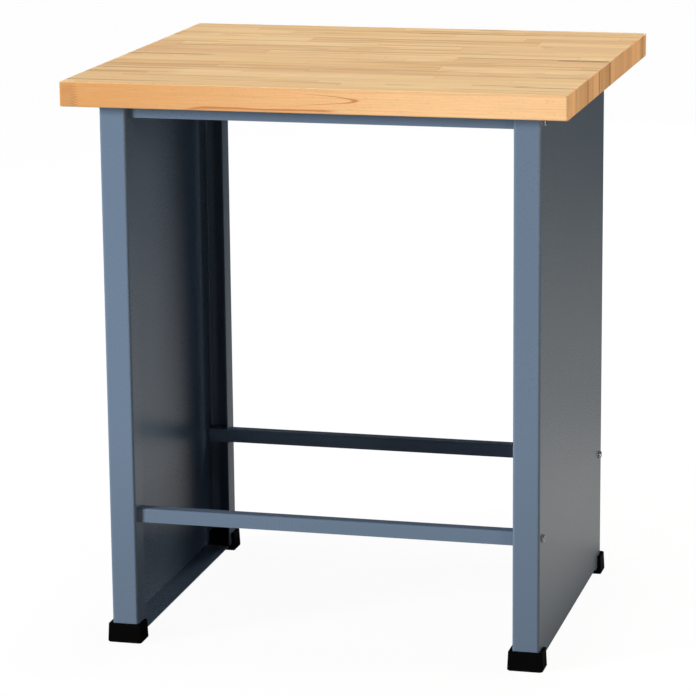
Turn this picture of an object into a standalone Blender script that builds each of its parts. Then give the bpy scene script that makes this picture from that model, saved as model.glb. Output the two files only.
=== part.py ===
"""Modular workbench: a beech top on two folded steel side panels, joined by four folded rails.

Metres, +Z up. The origin is on the floor under the middle of the worktop, +Y points to the back.
The two side panels are one pressing turned half round, and so are the rails and the feet.
"""
import math

import bmesh
import bpy
from mathutils import Matrix, Vector

# Driving dimensions: the bench as a whole
BENCH_WIDTH = 0.740
BENCH_DEPTH = 0.690
BENCH_HEIGHT = 0.850
TOP_THICKNESS = 0.036
TOP_EDGE_ROUND = 0.0015
SIDE_OVERHANG = 0.045
FRONT_OVERHANG = 0.042
PANEL_DEPTH = 0.522

# Folded sheet of the side panels
SHEET = 0.002
BEND_INSIDE_RADIUS = 0.002
FLANGE_WIDTH = 0.040
LIP_DEPTH = 0.036
PANEL_GROUND_CLEARANCE = 0.010
CORNER_RELIEF = 0.003
FLANGE_SETBACK = 0.046

# Rails: a channel open below, with the web on top and a tab turned down at each end
RAIL_HEIGHT = 0.021
RAIL_DEPTH = 0.021
RAIL_SETBACK = 0.010
RAIL_SHEET = 0.002
RAIL_INSIDE_RADIUS = 0.001
STRETCHER_HEIGHT = 0.185
TAB_SIDE_CLEARANCE = 0.002

# Feet: a cap with a U-shaped slot for the sheet edges
FOOT_HEIGHT = 0.029
FOOT_WALL = 0.0065
FOOT_DEPTH = 0.030
FOOT_TAPER = 0.0012
FOOT_CORNER = 0.003
FOOT_SOLE_CHAMFER = 0.001

# Fasteners
BOLT_RADIUS = 0.003
BOLT_LENGTH = 0.016
BOLT_HEAD_RADIUS = 0.006
BOLT_HEAD_HEIGHT = 0.0036
BOLT_SOCKET = 0.004
BOLT_SOCKET_DEPTH = 0.002
NUT_ACROSS_FLATS = 0.010
NUT_HEIGHT = 0.006
NUT_FLANGE_RADIUS = 0.0066
NUT_FLANGE_HEIGHT = 0.0014
SCREW_RADIUS = 0.0022
SCREW_LENGTH = 0.028
SCREW_HEAD_RADIUS = 0.005
SCREW_HEAD_HEIGHT = 0.0028
SCREWS_PER_PANEL = 3
SCREW_END_MARGIN = 0.060

# Clearances and facets
GAP = 0.0003
HOLE_CLEARANCE = 0.0004
NOTCH_CLEARANCE = 0.0008
BEND_STEPS = 4
ROUND_STEPS = 24

# Places worked out from the sizes above
TOP_UNDERSIDE = BENCH_HEIGHT - TOP_THICKNESS
SKIN_X = BENCH_WIDTH / 2 - SIDE_OVERHANG
PANEL_FRONT = -BENCH_DEPTH / 2 + FRONT_OVERHANG
PANEL_BACK = PANEL_FRONT + PANEL_DEPTH
PANEL_MIDDLE = (PANEL_FRONT + PANEL_BACK) / 2
PANEL_TOP = TOP_UNDERSIDE - GAP
PANEL_BOTTOM = PANEL_GROUND_CLEARANCE
BEND_RADIUS = BEND_INSIDE_RADIUS + SHEET / 2
RAIL_BEND = RAIL_INSIDE_RADIUS + RAIL_SHEET / 2
RAIL_HALF_LENGTH = SKIN_X - SHEET - GAP
RAIL_BOLT_SETBACK = RAIL_SETBACK + RAIL_DEPTH / 2
TOP_RAIL_HEIGHT = PANEL_TOP - RAIL_HEIGHT
RAIL_LEVELS = (STRETCHER_HEIGHT, TOP_RAIL_HEIGHT)

# Finishes: colour, roughness, metallic
BEECH = ("beech", (0.72, 0.47, 0.24), 0.5, 0.0)
PAINT = ("blue_grey_paint", (0.15, 0.20, 0.28), 0.42, 0.0)
PLASTIC = ("black_plastic", (0.012, 0.012, 0.013), 0.55, 0.0)
ZINC = ("zinc_steel", (0.62, 0.63, 0.65), 0.32, 1.0)


def clear_scene():
    """Remove whatever objects the open file holds."""
    for item in list(bpy.data.objects):
        bpy.data.objects.remove(item, do_unlink=True)


def finish(name, colour, roughness, metallic):
    """Return a Principled material of one plain colour."""
    material = bpy.data.materials.new(name)
    material.use_nodes = True
    shader = material.node_tree.nodes["Principled BSDF"]
    shader.inputs["Base Color"].default_value = (*colour, 1.0)
    shader.inputs["Roughness"].default_value = roughness
    shader.inputs["Metallic"].default_value = metallic
    return material


def mesh_from(bm, name):
    """Turn a bmesh into a mesh with its faces pointing out."""
    bmesh.ops.recalc_face_normals(bm, faces=bm.faces)
    mesh = bpy.data.meshes.new(name)
    bm.to_mesh(mesh)
    bm.free()
    return mesh


def arc(centre, radius, start, end, steps):
    """Points on an arc in a plane, angles in degrees, both ends included."""
    points = []
    for step in range(steps + 1):
        angle = math.radians(start + (end - start) * step / steps)
        points.append((centre[0] + radius * math.cos(angle), centre[1] + radius * math.sin(angle)))
    return points


def circle(radius, height):
    """A ring of points at one height, about the Z axis."""
    turn = 2 * math.pi / ROUND_STEPS
    return [(radius * math.cos(turn * k), radius * math.sin(turn * k), height) for k in range(ROUND_STEPS)]


def hexagon(across_flats, height):
    """A hexagon's outline with as many points as a circle has, so that the two can be joined."""
    turn = 2 * math.pi / ROUND_STEPS
    sixth = math.pi / 3
    points = []
    for k in range(ROUND_STEPS):
        angle = turn * k
        off_flat = (angle + sixth / 2) % sixth - sixth / 2
        radius = across_flats / 2 / math.cos(off_flat)
        points.append((radius * math.cos(angle), radius * math.sin(angle), height))
    return points


def loft(loops, closed=False):
    """Join rings of points into one closed body, with end caps unless the last ring meets the first."""
    bm = bmesh.new()
    rings = [[bm.verts.new(point) for point in loop] for loop in loops]
    pairs = list(zip(rings, rings[1:]))
    if closed:
        pairs.append((rings[-1], rings[0]))
    else:
        bm.faces.new(rings[0])
        bm.faces.new(rings[-1])
    for low, high in pairs:
        for k in range(len(low)):
            after = (k + 1) % len(low)
            bm.faces.new((low[k], low[after], high[after], high[k]))
    return bm


class FoldedSheet:
    """The middle surface of a folded sheet, thickened into one closed body.

    Each point carries the sheet's normal there, and patches share points where they meet.
    """

    def __init__(self, thickness):
        self.thickness = thickness
        self.points = {}
        self.faces = []

    def point(self, place, normal):
        """Return the key of a point, adding it with its normal the first time."""
        key = tuple(round(value, 7) for value in place)
        self.points.setdefault(key, (Vector(place), Vector(normal).normalized()))
        return key

    def patch(self, places, normals, keep=None):
        """Add a grid of faces; keep(row, column) can leave a face out."""
        keys = [[self.point(p, n) for p, n in zip(*row)] for row in zip(places, normals)]
        for row in range(len(keys) - 1):
            for column in range(len(keys[0]) - 1):
                if keep is None or keep(row, column):
                    below, above = keys[row], keys[row + 1]
                    self.faces.append((below[column], below[column + 1], above[column + 1], above[column]))

    def body(self):
        """Return the thickened sheet as a bmesh: two skins and a rim along every free edge."""
        bm = bmesh.new()
        used = {key for face in self.faces for key in face}
        half = self.thickness / 2
        front = {key: bm.verts.new(self.points[key][0] + self.points[key][1] * half) for key in used}
        back = {key: bm.verts.new(self.points[key][0] - self.points[key][1] * half) for key in used}
        edges = {}
        for face in self.faces:
            bm.faces.new([front[key] for key in face])
            bm.faces.new([back[key] for key in reversed(face)])
            for start, end in zip(face, face[1:] + face[:1]):
                edges.setdefault(frozenset((start, end)), []).append((start, end))
        for uses in edges.values():
            if len(uses) == 1:
                start, end = uses[0]
                bm.faces.new((front[end], front[start], back[start], back[end]))
        return bm


def panel_path():
    """The side panel's path in plan, lip to lip, as places, normals and the stretch each belongs to."""
    lip_x = SKIN_X - FLANGE_WIDTH + SHEET / 2
    skin_x = SKIN_X - SHEET / 2
    front_y = PANEL_FRONT + SHEET / 2
    back_y = PANEL_BACK - SHEET / 2
    notch = RAIL_SETBACK - NOTCH_CLEARANCE
    flange_start = PANEL_FRONT + FLANGE_SETBACK
    flange_end = PANEL_BACK - FLANGE_SETBACK
    path = []

    def straight(places, normal, stretch):
        path.extend((place, normal, stretch) for place in places)

    def bend(centre, start, end):
        for place in arc(centre, BEND_RADIUS, start, end, BEND_STEPS):
            path.append((place, (place[0] - centre[0], place[1] - centre[1]), "bend"))

    straight([(lip_x, PANEL_FRONT + LIP_DEPTH), (lip_x, PANEL_FRONT + notch)], (-1, 0), "lip")
    bend((lip_x + BEND_RADIUS, front_y + BEND_RADIUS), 180, 270)
    bend((skin_x - BEND_RADIUS, front_y + BEND_RADIUS), 270, 360)
    stations = (flange_start - CORNER_RELIEF, flange_start, flange_end, flange_end + CORNER_RELIEF)
    straight([(skin_x, y) for y in stations], (1, 0), "skin")
    bend((skin_x - BEND_RADIUS, back_y - BEND_RADIUS), 0, 90)
    bend((lip_x + BEND_RADIUS, back_y - BEND_RADIUS), 90, 180)
    straight([(lip_x, PANEL_BACK - notch), (lip_x, PANEL_BACK - LIP_DEPTH)], (-1, 0), "lip")
    return path


def panel_levels():
    """The heights where the side panel's outline changes, lowest first."""
    turn = SHEET / 2 + BEND_RADIUS
    low = RAIL_LEVELS[0] - NOTCH_CLEARANCE
    high = RAIL_LEVELS[0] + RAIL_HEIGHT + NOTCH_CLEARANCE
    top_notch = RAIL_LEVELS[1] - NOTCH_CLEARANCE
    return [PANEL_BOTTOM, PANEL_BOTTOM + turn, low, high, top_notch, PANEL_TOP - turn, PANEL_TOP]


def panel_flange(sheet, level, turned):
    """Fold a flange in from the skin's bottom or top edge, between the corner reliefs."""
    skin_x = SKIN_X - SHEET / 2
    inner_x = SKIN_X - FLANGE_WIDTH
    centre = (skin_x - BEND_RADIUS, level + turned * (SHEET / 2 + BEND_RADIUS))
    profile = arc(centre, BEND_RADIUS, 0, -90 * turned, BEND_STEPS)
    normals = [(x - centre[0], z - centre[1]) for x, z in profile]
    profile.append((inner_x, level + turned * SHEET / 2))
    normals.append((0, -turned))
    ends = (PANEL_FRONT + FLANGE_SETBACK, PANEL_BACK - FLANGE_SETBACK)
    places = [[(x, y, z) for y in ends] for x, z in profile]
    outward = [[(nx, 0, nz) for y in ends] for nx, nz in normals]
    sheet.patch(places, outward)


def side_panel_mesh():
    """The right side panel: skin, flanges, return lips, bottom and top flange, notches and holes."""
    path = panel_path()
    levels = panel_levels()
    stretches = [stretch for place, normal, stretch in path]
    skin_first = stretches.index("skin")
    flange_columns = range(skin_first, skin_first + 3)
    notch_rows = (2, 4, 5)

    def keep(row, column):
        lip_face = stretches[column] == "lip" and stretches[column + 1] == "lip"
        if lip_face and row in notch_rows:
            return False
        return not (row in (0, len(levels) - 2) and column in flange_columns)

    sheet = FoldedSheet(SHEET)
    places = [[(*place, level) for place, normal, stretch in path] for level in levels]
    normals = [[(*normal, 0) for place, normal, stretch in path] for level in levels]
    sheet.patch(places, normals, keep)
    panel_flange(sheet, PANEL_BOTTOM, 1)
    panel_flange(sheet, PANEL_TOP, -1)
    mesh = mesh_from(sheet.body(), "side_panel")
    cutters = [bolt_hole(SKIN_X, y, z) for y in rail_bolt_depths() for z in rail_bolt_levels()]
    cutters += [screw_hole(y) for y in screw_depths()]
    return cut(mesh, cutters)


def rail_mesh():
    """A rail with its front face at Y = 0, its middle at X = 0 and its open underside at height 0."""
    sheet = FoldedSheet(RAIL_SHEET)
    half = RAIL_SHEET / 2
    web_front = half + RAIL_BEND
    web_back = RAIL_DEPTH - half - RAIL_BEND
    web_z = RAIL_HEIGHT - half
    bend_z = web_z - RAIL_BEND
    tab_turn = RAIL_HALF_LENGTH - half - RAIL_BEND
    flange_end = tab_turn - TAB_SIDE_CLEARANCE
    front = arc((web_front, bend_z), RAIL_BEND, 180, 90, BEND_STEPS)
    back = arc((web_back, bend_z), RAIL_BEND, 90, 0, BEND_STEPS)
    profile = [(half, 0.0)] + front + back + [(RAIL_DEPTH - half, 0.0)]
    normals = [(-1, 0)]
    normals += [(y - web_front, z - bend_z) for y, z in front]
    normals += [(y - web_back, z - bend_z) for y, z in back]
    normals += [(1, 0)]
    ends = (-flange_end, flange_end)
    sheet.patch(
        [[(x, y, z) for x in ends] for y, z in profile],
        [[(0, ny, nz) for x in ends] for ny, nz in normals],
    )
    turn = arc((tab_turn, bend_z), RAIL_BEND, 90, 0, BEND_STEPS)
    side_view = [(flange_end, web_z)] + turn + [(tab_turn + RAIL_BEND, 0.0)]
    facing = [(0, 1)] + [(x - tab_turn, z - bend_z) for x, z in turn] + [(1, 0)]
    for side in (-1, 1):
        sheet.patch(
            [[(side * x, y, z) for x, z in side_view] for y in (web_front, web_back)],
            [[(side * nx, 0, nz) for nx, nz in facing] for y in (web_front, web_back)],
        )
    mesh = mesh_from(sheet.body(), "rail")
    cutters = [bolt_hole(side * RAIL_HALF_LENGTH, RAIL_DEPTH / 2, RAIL_HEIGHT / 2) for side in (-1, 1)]
    return cut(mesh, cutters)


def foot_mesh():
    """A front foot, with its middle across the post at X = 0 and the post's front face at Y = 0."""
    half = FLANGE_WIDTH / 2
    front = -FOOT_WALL

    def outline(inset, height):
        left, right = -half - FOOT_WALL + inset, half + FOOT_WALL - inset
        fore, aft = front + inset, FOOT_DEPTH - inset
        corner = FOOT_CORNER
        return [
            (left + corner, fore, height), (right - corner, fore, height), (right, fore + corner, height),
            (right, aft, height), (left, aft, height), (left, fore + corner, height),
        ]

    block = loft([
        outline(FOOT_SOLE_CHAMFER, 0.0),
        outline(0.0, FOOT_SOLE_CHAMFER),
        outline(FOOT_TAPER, FOOT_HEIGHT),
    ])
    mesh = mesh_from(block, "foot")
    return cut(mesh, [foot_slot()])


def foot_slot():
    """The U-shaped slot in a foot that the post's sheet edges stand in."""
    half = FLANGE_WIDTH / 2
    outer = half + GAP
    inner = half - SHEET - GAP
    beyond = FOOT_DEPTH + FOOT_WALL
    core_front = SHEET + GAP
    corner = BEND_INSIDE_RADIUS + GAP
    plan = [
        (-outer, beyond), (-outer, -GAP), (outer, -GAP), (outer, beyond),
        (inner, beyond), (inner, core_front + corner), (inner - corner, core_front),
        (-inner + corner, core_front), (-inner, core_front + corner), (-inner, beyond),
    ]
    floor = PANEL_BOTTOM - GAP
    return loft([[(x, y, z) for x, y in plan] for z in (floor, FOOT_HEIGHT + FOOT_WALL)])


def worktop_mesh():
    """The beech block with eased edges and blind holes for the screws underneath."""
    bm = bmesh.new()
    bmesh.ops.create_cube(bm, size=1.0)
    bmesh.ops.scale(bm, vec=(BENCH_WIDTH, BENCH_DEPTH, TOP_THICKNESS), verts=bm.verts)
    bmesh.ops.translate(bm, vec=(0, 0, TOP_UNDERSIDE + TOP_THICKNESS / 2), verts=bm.verts)
    bmesh.ops.bevel(bm, geom=bm.edges[:], offset=TOP_EDGE_ROUND, segments=2, profile=0.5, affect='EDGES')
    mesh = mesh_from(bm, "worktop")
    depth = SCREW_LENGTH - SHEET
    radius = SCREW_RADIUS + HOLE_CLEARANCE
    cutters = []
    for x, y in screw_places():
        hole = loft([circle(radius, -TOP_THICKNESS / 2), circle(radius, depth)])
        bmesh.ops.translate(hole, vec=(x, y, TOP_UNDERSIDE), verts=hole.verts)
        cutters.append(hole)
    return cut(mesh, cutters)


def rail_bolt_depths():
    """The bolt lines' places across the bench: front and back."""
    return (PANEL_FRONT + RAIL_BOLT_SETBACK, PANEL_BACK - RAIL_BOLT_SETBACK)


def rail_bolt_levels():
    """The bolt lines' heights: stretchers and top rails."""
    return tuple(level + RAIL_HEIGHT / 2 for level in RAIL_LEVELS)


def screw_depths():
    """Where the worktop screws stand along a side panel's top flange."""
    first = PANEL_FRONT + FLANGE_SETBACK + SCREW_END_MARGIN
    last = PANEL_BACK - FLANGE_SETBACK - SCREW_END_MARGIN
    pitch = (last - first) / (SCREWS_PER_PANEL - 1)
    return [first + pitch * k for k in range(SCREWS_PER_PANEL)]


def screw_x():
    """How far out the worktop screws stand: the middle of the top flange."""
    return SKIN_X - FLANGE_WIDTH / 2


def screw_places():
    """The worktop screws' places, left panel first."""
    return [(side * screw_x(), y) for side in (-1, 1) for y in screw_depths()]


def bolt_hole(x, y, z):
    """A cutter for a bolt hole along X through a sheet near x."""
    radius = BOLT_RADIUS + HOLE_CLEARANCE
    reach = SHEET * 3
    hole = loft([circle(radius, -reach), circle(radius, reach)])
    turned = Matrix.Translation((x, y, z)) @ Matrix.Rotation(math.pi / 2, 4, 'Y')
    bmesh.ops.transform(hole, matrix=turned, verts=hole.verts)
    return hole


def screw_hole(y):
    """A cutter for a worktop screw's hole in the top flange."""
    radius = SCREW_RADIUS + HOLE_CLEARANCE
    reach = SHEET * 3
    hole = loft([circle(radius, -reach), circle(radius, reach)])
    bmesh.ops.translate(hole, vec=(screw_x(), y, PANEL_TOP), verts=hole.verts)
    return hole


def bolt_mesh():
    """A button-head bolt along +Z: the head's seat at 0, the shank below it, a hexagon socket on top."""
    rim = BOLT_HEAD_RADIUS
    crown = BOLT_HEAD_HEIGHT
    loops = [
        circle(BOLT_RADIUS * 0.8, -BOLT_LENGTH),
        circle(BOLT_RADIUS, -BOLT_LENGTH + BOLT_RADIUS * 0.25),
        circle(BOLT_RADIUS, 0.0),
        circle(rim, 0.0),
        circle(rim, crown * 0.25),
        circle(rim * 0.93, crown * 0.6),
        circle(rim * 0.74, crown * 0.9),
        circle(rim * 0.55, crown),
        hexagon(BOLT_SOCKET, crown),
        hexagon(BOLT_SOCKET, crown - BOLT_SOCKET_DEPTH),
    ]
    return mesh_from(loft(loops), "rail_bolt")


def nut_mesh():
    """A flange nut along -Z: its flange's seat at 0 and the hexagon below it."""
    bore = BOLT_RADIUS + GAP
    loops = [
        circle(bore, 0.0),
        circle(NUT_FLANGE_RADIUS, 0.0),
        circle(NUT_FLANGE_RADIUS, -NUT_FLANGE_HEIGHT),
        hexagon(NUT_ACROSS_FLATS, -NUT_FLANGE_HEIGHT * 1.4),
        hexagon(NUT_ACROSS_FLATS, -NUT_HEIGHT),
        circle(bore, -NUT_HEIGHT),
    ]
    return mesh_from(loft(loops, closed=True), "rail_nut")


def screw_mesh():
    """A pan-head wood screw pointing up: the head's seat at 0 and the point above it."""
    loops = [
        circle(SCREW_HEAD_RADIUS * 0.6, -SCREW_HEAD_HEIGHT),
        circle(SCREW_HEAD_RADIUS * 0.92, -SCREW_HEAD_HEIGHT * 0.7),
        circle(SCREW_HEAD_RADIUS, -SCREW_HEAD_HEIGHT * 0.25),
        circle(SCREW_HEAD_RADIUS, 0.0),
        circle(SCREW_RADIUS, 0.0),
        circle(SCREW_RADIUS, SCREW_LENGTH * 0.72),
        circle(SCREW_RADIUS * 0.15, SCREW_LENGTH - SHEET),
    ]
    return mesh_from(loft(loops), "worktop_screw")


def cut(mesh, cutters):
    """Return a copy of a mesh with every cutter taken out of it."""
    tool = bmesh.new()
    for cutter in cutters:
        loose = mesh_from(cutter, "cutter")
        tool.from_mesh(loose)
        bpy.data.meshes.remove(loose)
    tool_mesh = bpy.data.meshes.new("cutters")
    tool.to_mesh(tool_mesh)
    tool.free()
    body = bpy.data.objects.new("uncut", mesh)
    knife = bpy.data.objects.new("cutters", tool_mesh)
    for item in (body, knife):
        bpy.context.scene.collection.objects.link(item)
    boolean = body.modifiers.new("holes", 'BOOLEAN')
    boolean.operation = 'DIFFERENCE'
    boolean.solver = 'EXACT'
    boolean.object = knife
    bpy.context.view_layer.update()
    ready = body.evaluated_get(bpy.context.evaluated_depsgraph_get())
    result = bpy.data.meshes.new_from_object(ready)
    result.name = mesh.name
    for item in (body, knife):
        bpy.data.objects.remove(item, do_unlink=True)
    for spare in (mesh, tool_mesh):
        bpy.data.meshes.remove(spare)
    return result


def place(name, mesh, material, parent, location=(0, 0, 0), rotation=(0, 0, 0)):
    """Add one named piece to the scene."""
    if not mesh.materials:
        mesh.materials.append(material)
    piece = bpy.data.objects.new(name, mesh)
    bpy.context.scene.collection.objects.link(piece)
    piece.parent = parent
    piece.location = location
    piece.rotation_euler = rotation
    return piece


def add_panels(paint, bench):
    """Both side panels: the left one is the right one turned half round about the panels' middle."""
    mesh = side_panel_mesh()
    place("right_side_panel", mesh, paint, bench)
    place("left_side_panel", mesh, paint, bench, (0, 2 * PANEL_MIDDLE, 0), (0, 0, math.pi))


def add_rails(paint, zinc, bench):
    """The four rails, each with a bolt and a nut at both ends."""
    rail = rail_mesh()
    bolt = bolt_mesh()
    nut = nut_mesh()
    names = {0: "stretcher", 1: "top_rail"}
    for level, height in enumerate(RAIL_LEVELS):
        for end, facing in (("front", 1), ("rear", -1)):
            face_y = PANEL_MIDDLE - facing * (PANEL_DEPTH / 2 - RAIL_SETBACK)
            bolt_y = PANEL_MIDDLE - facing * (PANEL_DEPTH / 2 - RAIL_BOLT_SETBACK)
            bolt_z = height + RAIL_HEIGHT / 2
            name = end + "_" + names[level]
            turn = 0 if facing == 1 else math.pi
            place(name, rail, paint, bench, (0, face_y, height), (0, 0, turn))
            for hand, side in (("left", -1), ("right", 1)):
                lie = (0, side * math.pi / 2, 0)
                head_x = side * (SKIN_X + GAP)
                nut_x = side * (RAIL_HALF_LENGTH - RAIL_SHEET - GAP)
                place(name + "_" + hand + "_bolt", bolt, zinc, bench, (head_x, bolt_y, bolt_z), lie)
                place(name + "_" + hand + "_nut", nut, zinc, bench, (nut_x, bolt_y, bolt_z), lie)


def add_feet(plastic, bench):
    """Four foot caps, one under each post."""
    mesh = foot_mesh()
    post_x = SKIN_X - FLANGE_WIDTH / 2
    for end, facing in (("front", 1), ("rear", -1)):
        for hand, side in (("left", -1), ("right", 1)):
            face_y = PANEL_MIDDLE - facing * PANEL_DEPTH / 2
            turn = 0 if facing == 1 else math.pi
            place(end + "_" + hand + "_foot", mesh, plastic, bench, (side * post_x, face_y, 0), (0, 0, turn))


def add_worktop(beech, zinc, bench):
    """The worktop and the screws that hold it down from below."""
    place("worktop", worktop_mesh(), beech, bench)
    screw = screw_mesh()
    seat = PANEL_TOP - SHEET - GAP
    for hand, side in (("left", -1), ("right", 1)):
        for count, y in enumerate(screw_depths(), start=1):
            name = "worktop_screw_" + hand + "_" + str(count)
            place(name, screw, zinc, bench, (side * screw_x(), y, seat))


def main():
    """Build the whole bench."""
    clear_scene()
    bench = bpy.data.objects.new("workbench", None)
    bpy.context.scene.collection.objects.link(bench)
    beech, paint, plastic, zinc = (finish(*values) for values in (BEECH, PAINT, PLASTIC, ZINC))
    add_worktop(beech, zinc, bench)
    add_panels(paint, bench)
    add_rails(paint, zinc, bench)
    add_feet(plastic, bench)


main()
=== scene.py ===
"""Looks of a modular workbench: a glued beech top on two folded steel sides, four rails and four feet.

Metres, +Z up, +Y to the back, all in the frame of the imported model.
"""
import logging
import math
from dataclasses import dataclass, field
from enum import Enum
from typing import Any, Callable, Dict, List, Mapping, Optional, Sequence, Tuple, Union

import bmesh
import bpy
from mathutils import Euler, Matrix, Vector


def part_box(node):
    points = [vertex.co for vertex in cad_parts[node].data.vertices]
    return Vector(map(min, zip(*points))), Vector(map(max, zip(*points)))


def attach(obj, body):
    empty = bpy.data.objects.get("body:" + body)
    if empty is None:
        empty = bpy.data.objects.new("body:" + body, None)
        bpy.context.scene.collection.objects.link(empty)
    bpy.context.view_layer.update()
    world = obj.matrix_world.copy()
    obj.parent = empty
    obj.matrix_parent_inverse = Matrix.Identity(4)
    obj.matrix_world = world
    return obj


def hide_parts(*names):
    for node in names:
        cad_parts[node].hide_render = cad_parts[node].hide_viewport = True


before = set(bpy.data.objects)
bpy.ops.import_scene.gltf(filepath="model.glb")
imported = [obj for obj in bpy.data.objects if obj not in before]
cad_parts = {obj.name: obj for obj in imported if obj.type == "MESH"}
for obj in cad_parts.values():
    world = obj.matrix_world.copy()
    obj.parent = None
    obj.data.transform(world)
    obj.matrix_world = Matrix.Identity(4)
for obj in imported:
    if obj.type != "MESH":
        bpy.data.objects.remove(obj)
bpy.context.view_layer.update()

LOG = logging.getLogger("workbench")
BODY = "root"
# A length taken as none, the middle of a noise or an even draw, and how far large faces lead the shading
TINY = 1e-6
HALF = 0.5
FLAT_WEIGHT = 80
Colour = Tuple[float, float, float]
Point = Tuple[float, float, float]
Pair = Tuple[float, float]
WHITE: Colour = (1.0, 1.0, 1.0)
WARM: Colour = (1.0, 0.86, 0.70)
WARMER: Colour = (1.0, 0.83, 0.64)


class Slot(Enum):
    """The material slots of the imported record."""

    BEECH = "beech"
    PAINT = "blue_grey_paint"
    PLASTIC = "black_plastic"
    ZINC = "zinc_steel"


class Hand(Enum):
    """The two ends of the bench, with the sign of X there."""

    LEFT = -1
    RIGHT = 1

    @property
    def word(self) -> str:
        """The hand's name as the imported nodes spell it."""
        return self.name.lower()


def math_method(operation: str, swapped: bool = False) -> Callable[..., "Value"]:
    """Make a method of Value that adds a Math node.

    Args:
        operation: what the node does.
        swapped: True where the method's own number is the last term.

    Returns:
        The method.
    """
    def method(self: "Value", *others: "Number") -> "Value":
        """Work the number out with the others."""
        terms = (*others, self) if swapped else (self, *others)
        return self.graph.math(operation, *terms)

    return method


class Value:
    """A number in a node tree that Python's operators can work with."""

    # Operators and their reflected forms
    __add__ = math_method("ADD")
    __radd__ = math_method("ADD", swapped=True)
    __sub__ = math_method("SUBTRACT")
    __rsub__ = math_method("SUBTRACT", swapped=True)
    __mul__ = math_method("MULTIPLY")
    __rmul__ = math_method("MULTIPLY", swapped=True)
    __truediv__ = math_method("DIVIDE")
    __rtruediv__ = math_method("DIVIDE", swapped=True)
    __pow__ = math_method("POWER")
    __rpow__ = math_method("POWER", swapped=True)
    __lt__ = math_method("LESS_THAN")
    __gt__ = math_method("GREATER_THAN")
    __abs__ = math_method("ABSOLUTE")

    # Functions of one number or of two
    floor = math_method("FLOOR")
    fraction = math_method("FRACT")
    root = math_method("SQRT")
    most = math_method("MAXIMUM")
    least = math_method("MINIMUM")

    def __init__(self, graph: "Graph", socket: bpy.types.NodeSocket) -> None:
        """Keep the tree and the socket that the number comes out of."""
        self.graph = graph
        self.socket = socket

    def held(self) -> "Value":
        """The number held between 0 and 1."""
        return self.most(0.0).least(1.0)

    def rise(self, low: float, high: float) -> "Value":
        """A smooth step from 0 to 1.

        Args:
            low: where the step starts.
            high: where the step ends.

        Returns:
            The step's height at this number.
        """
        made = self.graph.node(
            "ShaderNodeMapRange",
            {"interpolation_type": "SMOOTHSTEP"},
            {"Value": self, "From Min": low, "From Max": high},
        )
        return Value(self.graph, made.outputs["Result"])

    def fall(self, low: float, high: float) -> "Value":
        """A smooth step from 1 to 0 between two numbers."""
        return 1.0 - self.rise(low, high)


Number = Union[Value, float]
Spot = Sequence[Number]


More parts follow.
